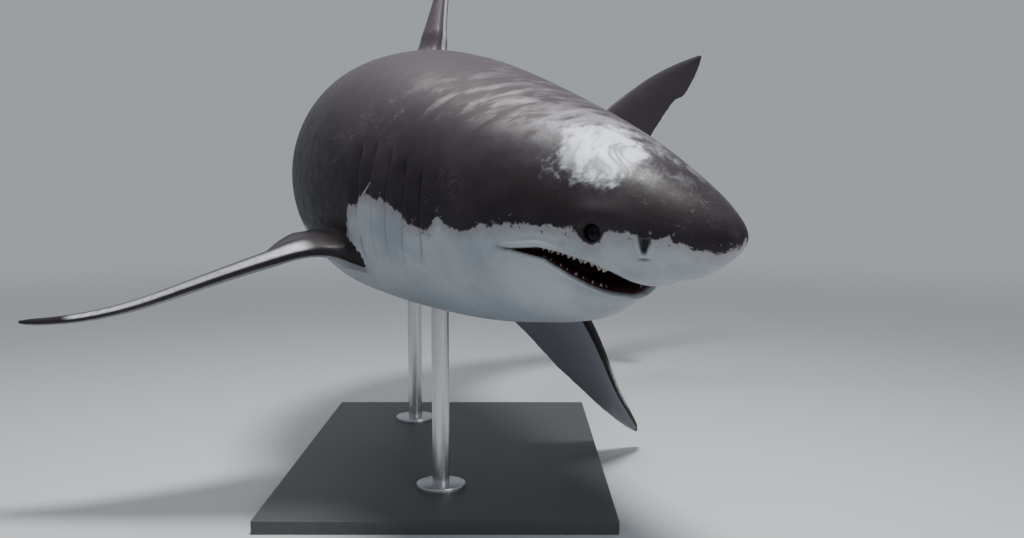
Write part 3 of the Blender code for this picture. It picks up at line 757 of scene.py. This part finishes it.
def border(n):
    """Height above the ragged border, and how dark the place is: flecks of each colour lie in the other."""
    big, small = n.centred(n.noise(7.0, 2.0, 0.5)), n.centred(n.noise(34.0, 4.0, 0.65))
    level = n.math("ADD", n.attribute("tone"), n.math("ADD", n.times(big, 0.5), n.times(small, 1.1)))
    fleck = n.noise(75.0, 2.0, 0.5)
    below = n.times(n.step(level, -0.9, -0.1), n.step(fleck, 0.67, 0.71))
    above = n.times(n.step(level, 0.6, 0.05), n.step(fleck, 0.34, 0.30))
    dark = n.math("MAXIMUM", n.step(level, -0.09, 0.09), below)
    return level, n.times(dark, n.math("SUBTRACT", 1.0, above))


def painted_sun_streaks(n, cloud, station, rise, side):
    """Painted sun highlights: strokes that run back from the nape, and fade along the body and away from a
    line over it.
    """
    forward = n.math("SUBTRACT", n.times(station, 0.86), n.times(side, 0.5))
    inward = n.math("ADD", n.times(station, 0.15), n.times(side, 0.26))
    strokes = n.node("ShaderNodeCombineXYZ", i0=forward, i1=inward, i2=n.times(rise, 0.3))
    sun_streak = n.math("ADD", n.noise(1.3, 4.0, 0.55, strokes, 0.5), n.step(station, 19.0, 12.0, (0.0, 0.10)))
    crest = n.math("ADD", rise, n.times(n.centred(cloud), 2.5))
    off = n.math("ABSOLUTE", n.math("SUBTRACT", side, n.math("MULTIPLY_ADD", station, 0.30, -0.64)))
    return n.times(n.step(sun_streak, 0.46, 0.72), n.step(crest, 3.9, 5.9), n.step(station, 27.0, 14.0),
                   n.step(off, 3.2, 0.4, (0.35, 1.0)))


def back_colour(n, mottle, cloud, rise):
    """Dark brown grey; painted light from above makes it a little paler toward the top."""
    back = n.mix(n.step(mottle, 0.30, 0.72), BACK_DARK, BACK_MID)
    # Painted light from above: paler toward the top.
    top = n.math("ADD", rise, n.times(n.centred(cloud), 3.5))
    return n.mix(n.step(top, 1.5, 8.5), back, BACK_TOP_PAINTED_LIGHT)


def belly_colour(n, level, rise):
    """White, greyer in places and near the border, with faint stains; painted shade makes it greyer
    underneath and on the pale undersides of the paired fins.
    """
    belly = n.mix(n.step(n.noise(4.0, 5.0, 0.6), 0.35, 0.75), BELLY, BELLY_GREY_AND_UNDERSHADE)
    belly = n.mix(n.step(level, -1.0, -0.02), belly, BELLY_EDGE)
    # Painted shade: greyer underneath.
    belly = n.mix(n.step(rise, -4.5, -8.0), belly, BELLY_GREY_AND_UNDERSHADE)
    stain = n.times(n.step(n.noise(46.0, 3.0, 0.6), 0.63, 0.73), n.step(n.noise(2.4, 2.0, 0.5), 0.45, 0.62))
    belly = n.mix(n.times(stain, 0.35), belly, STAIN)
    # Painted shade on the pale undersides of the paired fins.
    paired_fins = n.step(n.attribute("fin"), PECTORAL_FIN - 0.6, PECTORAL_FIN - 0.4)
    return n.mix(n.times(paired_fins, 0.8), belly, FIN_UNDERSIDE_SHADE)


def painted_nape_glare(n, station, rise, side):
    """Painted sunlight glare: a pale patch with dark caustic veins over the nape, and smears of it along the
    back and snout.
    """
    wander = n.centred(n.noise(9.0, 5.0, 0.68))
    along = n.math("DIVIDE", n.math("SUBTRACT", station, GLARE_AT[0]), GLARE_SIZE[0])
    middle = n.math("MULTIPLY_ADD", along, 0.75, GLARE_AT[1])
    across = n.math("DIVIDE", n.math("SUBTRACT", side, middle), GLARE_SIZE[1])
    far = n.math("SQRT", n.math("ADD", n.times(along, along), n.times(across, across)))
    high = n.step(rise, 1.5, 2.5)
    vein = n.math("ABSOLUTE", n.centred(n.noise(7.5, 5.0, 0.62, distortion=1.1)))
    veined = n.math("MAXIMUM", n.step(vein, 0.0, 0.10, (0.34, 1.0)),
                    n.step(n.math("ADD", along, n.times(wander, 2.0)), 0.1, 0.9))
    glare = n.times(n.step(n.math("MULTIPLY_ADD", wander, 2.1, far), 1.18, 0.70), high, veined)
    brush = n.stretched((3.2, 0.8, 3.2), SCRATCH_TURN)
    glare_smear = n.times(n.step(n.math("MULTIPLY_ADD", wander, 2.4, far), 2.6, 0.9), high,
                    n.step(n.math("ADD", across, wander), 0.9, -0.1),
                    n.step(n.noise(9.0, 4.0, 0.6, brush, 0.4), 0.42, 0.72))
    return n.math("MAXIMUM", glare, n.times(glare_smear, 0.24))


def painted_edge_glints(n):
    """Painted highlights on the front edges of the pectoral fins and the first dorsal fin."""
    return n.times(n.step(n.attribute("chord"), 0.22, 0.05), n.attribute("edge_glint"),
                   n.step(n.noise(60.0, 4.0, 0.6), 0.20, 0.62, (0.5, 1.0)))


def scratches(n):
    """Fine lines in patches, all one way."""
    grain = n.stretched((9.0, 2.2, 9.0), SCRATCH_TURN)
    lines = n.math("ABSOLUTE", n.centred(n.noise(3.0, 2.0, 0.5, grain, 0.6)))
    return n.times(n.step(lines, 0.005, 0.001), n.step(n.noise(3.2, 1.0, 0.5), 0.55, 0.65))


def snout_pores(n, station):
    spots = n.node("ShaderNodeTexVoronoi", "Distance", Vector=n.where, Scale=75.0)
    return n.times(n.step(spots, 0.16, 0.09), n.step(station, 5.6, 3.6),
                   n.step(n.noise(12.0, 1.0, 0.5), 0.50, 0.58))


def skin_material():
    n = Nodes("shark_skin_look")
    station, rise, side, mouth = (n.attribute(name) for name in ("station", "rise", "side", "mouth"))
    mottle, cloud = n.noise(5.0, 6.0, 0.6), n.noise(1.6, 3.0, 0.5)
    level, dark = border(n)
    sun_streaks = painted_sun_streaks(n, cloud, station, rise, side)
    glare = painted_nape_glare(n, station, rise, side)
    pore = snout_pores(n, station)

    # Painted sun streaks over the back's colour.
    back = n.mix(sun_streaks, back_colour(n, mottle, cloud, rise), PAINTED_SUN_STREAK)
    colour = n.mix(dark, belly_colour(n, level, rise), back)
    # Gum colour at the lips, going to painted shade deep in the throat.
    gum_and_throat_shade = n.mix(n.step(mouth, 0.35, 0.95), GUM, PAINTED_THROAT_SHADE)
    # Painted glare on the nape, painted highlights on fin edges, the skin's own scratches and pores, painted
    # shade in recesses, then the mouth's gum and painted throat shade.
    for amount, paint in ((n.times(glare, 0.9), PAINTED_GLARE), (n.times(painted_edge_glints(n), 0.85), PAINTED_EDGE_GLINT),
                          (n.times(scratches(n), 0.22), SCRATCH), (n.times(pore, 0.40), PORE),
                          (n.times(n.attribute("recess_shade"), 0.93), PAINTED_RECESS_SHADE), (n.step(mouth, 0.05, 0.26), gum_and_throat_shade)):
        colour = n.mix(amount, colour, paint)

    # Satin, a little smoother under the painted glare and the painted sun streaks.
    grain, soft = n.noise(620.0, 2.0, 0.6), n.noise(28.0, 4.0, 0.6)
    uneven = n.math("ADD", n.times(grain, 0.35), n.times(soft, 0.65))
    rough = n.step(uneven, 0.3, 0.7, (0.38, 0.56))
    rough = n.math("SUBTRACT", rough, n.times(n.math("MAXIMUM", glare, sun_streaks), 0.08))
    n.set(Base_Color=colour, Roughness=rough, Specular_IOR_Level=0.15, Coat_Weight=0.03, Coat_Roughness=0.28)
    relief = n.bump(grain, 0.0004, 0.5)
    relief = n.bump(soft, 0.0025, 0.35, relief)
    relief = n.bump(mottle, 0.006, 0.20, relief)
    n.set(Normal=n.bump(pore, -0.0012, 0.6, relief))
    return n.material


def eye_material():
    """Black pupil, nearly black iris, dark rim. dist is the distance from the eye's axis."""
    n = Nodes("eye_look")
    dist = n.attribute("axis")
    iris = n.mix(n.noise(220.0, 3.0, 0.6), (0.002, 0.002, 0.003), (0.006, 0.007, 0.010))
    colour = n.mix(n.step(dist, 0.34, 0.42), (0.001, 0.001, 0.001), iris)
    colour = n.mix(n.step(dist, 0.80, 0.92), colour, (0.006, 0.005, 0.005))
    n.set(Base_Color=colour, Roughness=0.12, Specular_IOR_Level=0.10)
    return n.material


def enamel_material():
    n = Nodes("tooth_look")
    root = n.attribute("root")
    colour = n.mix(n.noise(140.0, 3.0, 0.5), (0.36, 0.31, 0.26), (0.26, 0.21, 0.17))
    colour = n.mix(n.step(root, 0.35, 0.0), colour, (0.12, 0.045, 0.045))
    n.set(Base_Color=colour, Coat_Weight=0.4, Coat_Roughness=0.1)
    n.set(Roughness=n.step(n.noise(300.0, 2.0, 0.5), 0.3, 0.7, (0.22, 0.38)))
    return n.material


def paint_material():
    n = Nodes("base_paint_look")
    fine = n.noise(420.0, 3.0, 0.6)
    wide = n.noise(3.0, 3.0, 0.5)
    colour = n.mix(wide, (0.045, 0.047, 0.050), (0.062, 0.064, 0.068))
    n.set(Base_Color=colour)
    n.set(Roughness=n.step(fine, 0.3, 0.7, (0.42, 0.58)))
    n.set(Normal=n.bump(fine, 0.0003, 0.5))
    return n.material


def steel_material():
    n = Nodes("rod_steel_look")
    brushed = n.noise(1.0, 4.0, 0.7, n.stretched((900.0, 900.0, 14.0)))
    n.set(Metallic=1.0)
    n.set(Base_Color=n.mix(brushed, (0.46, 0.46, 0.47), (0.60, 0.60, 0.61)))
    n.set(Roughness=n.step(brushed, 0.3, 0.7, (0.22, 0.38)))
    n.set(Normal=n.bump(brushed, 0.0001, 0.4))
    return n.material


# ---------------------------------------------------------------- the other pieces
def finish_piece(obj, material, nodes=()):
    obj.data.materials.clear()
    obj.data.materials.append(material)
    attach(obj, "root")
    if nodes:
        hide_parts(*nodes)


def make_eye(side, material):
    station, r, z, radius = EYE
    hand = 1 if side == "right" else -1
    _, _, right, _ = (v[0] for v in at_station(np.array([station])))
    centre = place(np.array([station]), np.array([r * hand]), np.array([z]))[0]
    axis = Vector(right * hand + AHEAD[int(station / SPINE_STEP)] * EYE_FORWARD).normalized()
    turn = Vector((0, 0, 1)).rotation_difference(axis).to_matrix()
    rows, n = 40, 64
    # A ball with a slight bulge in front, a little smaller than its solid.
    theta = np.linspace(0.02, math.pi - 0.02, rows)[:, None]
    phi = np.linspace(0, 2 * math.pi, n, endpoint=False)[None]
    ball = np.stack([np.sin(theta) * np.cos(phi), np.sin(theta) * np.sin(phi), np.cos(theta) + 0 * phi], -1)
    bulge = 1 + 0.04 * bell(theta, 0.5)[..., None]
    verts = (ball * bulge * radius * UNIT * 0.985).reshape(-1, 3) @ np.array(turn).T + centre
    obj = face_out(add_mesh("eyeball_" + side, verts, closed_rings(rows, n)))
    from_axis = np.sin(theta[:, 0]) + 2 * (theta[:, 0] > 1.57)
    keep_value(obj, "axis", np.repeat(from_axis, n))
    finish_piece(obj, material, ["eye_" + side])


def lip_point(path, s, inset, drop):
    """A point on the gum: on the trunk's outline at the lip, then moved in and by drop in height."""
    z = float(np.interp(s, *zip(*sorted(path))))
    _, low = section(np.array([s]), np.array([-math.pi / 2]))
    r = section(np.array([s]), np.arcsin(np.clip(-z / low, -1, 1)))[0][0]
    way = np.array([MOUTH_CENTRE[0] - s, -r, MOUTH_CENTRE[1] - z])
    way /= np.linalg.norm(way)
    return np.array([s, r, z + drop]) + way * inset


TOOTH_RING = ((-1, 0), (-0.5, 0.8), (0, 1), (0.5, 0.8), (1, 0), (0.5, -0.5), (0, -0.6), (-0.5, -0.5))


def make_teeth(name, path, count, first, last, height, inset, drop, material, rows=9):
    """A row of flat, pointed, finely notched teeth on each side of a jaw."""
    upper = height < 0
    verts, faces, roots = [], [], []
    rng = np.random.default_rng(len(name))
    for hand in (1, -1):
        for k in range(count):
            f = (k + 0.5) / count
            s = first + (last - first) * f ** 1.15
            p, q = lip_point(path, s, inset, drop), lip_point(path, s + 0.08, inset, drop)
            along = (q - p) / np.linalg.norm(q - p)
            size = (1 - 0.45 * f) * rng.uniform(0.85, 1.1)
            tall = np.array([0.10 * rng.normal(), 0, height * size])
            broad = (0.27 if upper else 0.20) * size
            inward = np.cross(along, (0, 0, 1.0))
            at = len(verts)
            for i in range(rows):
                t = i / (rows - 1)
                half = broad * (1 - t) ** (0.85 if upper else 1.15) * (1 + 0.05 * (i % 2)) + 0.006
                thick = 0.085 * size * (1 - 0.8 * t) + 0.004
                mid = p + tall * t + along * (0.05 * size * t * t)
                for a, b in TOOTH_RING:
                    x = mid + along * half * a + inward * thick * b
                    verts.append((x[0], x[1] * hand, x[2]))
                    roots.append(t)
            faces += closed_rings(rows, len(TOOTH_RING), at)
    obj = face_out(add_mesh(name, place(*np.array(verts).T), faces))
    keep_value(obj, "root", np.array(roots))
    finish_piece(obj, material)


def make_stand(paint, steel, points=96):
    """The base with rounded edges, and each rod on its foot."""
    width, depth, height = BASE
    mesh = bpy.data.meshes.new("plinth")
    bm = bmesh.new()
    bmesh.ops.create_cube(bm, size=1.0)
    for v in bm.verts:
        v.co = (v.co.x * width, v.co.y * depth, (v.co.z + 0.5) * height)
    bmesh.ops.bevel(bm, geom=bm.edges[:], offset=0.004, segments=3, profile=0.5, affect="EDGES")
    bm.to_mesh(mesh)
    bm.free()
    plinth = bpy.data.objects.new("plinth", mesh)
    bpy.context.scene.collection.objects.link(plinth)
    finish_piece(plinth, paint, ["stand_base"])
    turn = np.linspace(0, 2 * math.pi, points, endpoint=False)
    for name, station in RODS:
        x, y, z = place(np.array([station]), np.zeros(1), np.zeros(1))[0]
        low, top = height + STAND_GAP, height + STAND_GAP + FOOT_HEIGHT
        foot = ((0.01, low), (FOOT_RADIUS, low), (FOOT_RADIUS, top - 0.0035),
                (FOOT_RADIUS - 0.001, top - 0.001), (FOOT_RADIUS - 0.0035, top), (0.01, top))
        rod_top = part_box("stand_rod_" + name)[1][2]
        rod = ((0.01, top + STAND_GAP), (ROD_RADIUS, top + STAND_GAP), (ROD_RADIUS, rod_top), (0.01, rod_top))
        for kind, profile in (("foot", foot), ("rod", rod)):
            verts = np.concatenate([np.stack([x + a * np.cos(turn), y + a * np.sin(turn), b + 0 * turn], -1)
                                    for a, b in profile])
            obj = face_out(add_mesh(f"{kind}_{name}", verts, closed_rings(len(profile), points)))
            obj.data.set_sharp_from_angle(angle=math.radians(30))
            finish_piece(obj, steel, [f"stand_{kind}_{name}"])


# ---------------------------------------------------------------- building
FLESH = [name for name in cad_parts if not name.startswith(("eye_", "stand_"))]
skin, skin_marks = make_skin()
paint_marks(skin, skin_marks)
drop_spare_corners(skin)
finish_piece(skin, skin_material(), FLESH)
eye_look = eye_material()
for side in ("right", "left"):
    make_eye(side, eye_look)
enamel = enamel_material()
make_teeth("teeth_upper", UPPER_LIP, 12, first=6.2, last=10.0, height=-0.36, inset=0.78, drop=0.05,
           material=enamel)
make_teeth("teeth_lower", LOWER_LIP, 11, first=7.3, last=10.0, height=0.28, inset=0.62, drop=-0.06,
           material=enamel)
make_stand(paint_material(), steel_material())


# ---------------------------------------------------------------- floor, lights, camera
BACKDROP = (0.36, 0.39, 0.42)
FOCAL_RATIO = 1013 / 1024
FLOOR_REACH = 90


def stage_floor():
    """Pale floor that fades with distance into the colour behind it, so that no horizon shows."""
    mesh = bpy.data.meshes.new("floor")
    corners = [(a * FLOOR_REACH, b * FLOOR_REACH, 0) for a, b in ((-1, -1), (1, -1), (1, 1), (-1, 1))]
    mesh.from_pydata(corners, [], [(0, 1, 2, 3)])
    floor = bpy.data.objects.new("floor", mesh)
    bpy.context.scene.collection.objects.link(floor)
    n = Nodes("floor_look")
    n.set(Base_Color=(0.50, 0.51, 0.52), Roughness=0.75)
    distance = n.node("ShaderNodeVectorMath", "Value", dict(operation="LENGTH"), i0=n.where)
    glow = n.node("ShaderNodeEmission", Color=BACKDROP, Strength=1.0)
    mixed = n.node("ShaderNodeMixShader", i0=n.step(distance, 2.5, 11.0), i1=n.shader.outputs[0], i2=glow)
    n.tree.links.new(mixed, n.tree.nodes["Material Output"].inputs[0])
    mesh.materials.append(n.material)


def add_light(name, place_at, target, size, power, colour=(1, 1, 1)):
    light = bpy.data.lights.new(name, "AREA")
    light.shape, light.size, light.energy, light.color = "DISK", size, power, colour
    obj = bpy.data.objects.new(name, light)
    obj.location = place_at
    obj.rotation_euler = (Vector(target) - Vector(place_at)).to_track_quat("-Z", "Y").to_euler()
    bpy.context.scene.collection.objects.link(obj)


stage_floor()
world = bpy.data.worlds.new("studio")
world.use_nodes = True
world.node_tree.nodes["Background"].inputs[0].default_value = (*BACKDROP, 1)
bpy.context.scene.world = world
add_light("key", (0.2, -1.35, 4.4), (0.3, -1.2, 1.2), 1.0, 240)
add_light("overhead", (-1.5, 0.9, 5.4), (0.0, 0.0, 1.2), 2.4, 65)
add_light("fill", (3.2, -4.6, 2.2), (0.2, -0.8, 1.0), 2.5, 60, (0.94, 0.97, 1.0))

lens = bpy.data.cameras.new("camera")
lens.sensor_width, lens.lens = 36.0, 36.0 * FOCAL_RATIO
camera = bpy.data.objects.new("camera", lens)
camera.location = ORIGIN
camera.rotation_euler = (math.radians(90 - TIP), 0, 0)
bpy.context.scene.collection.objects.link(camera)
bpy.context.scene.camera = camera
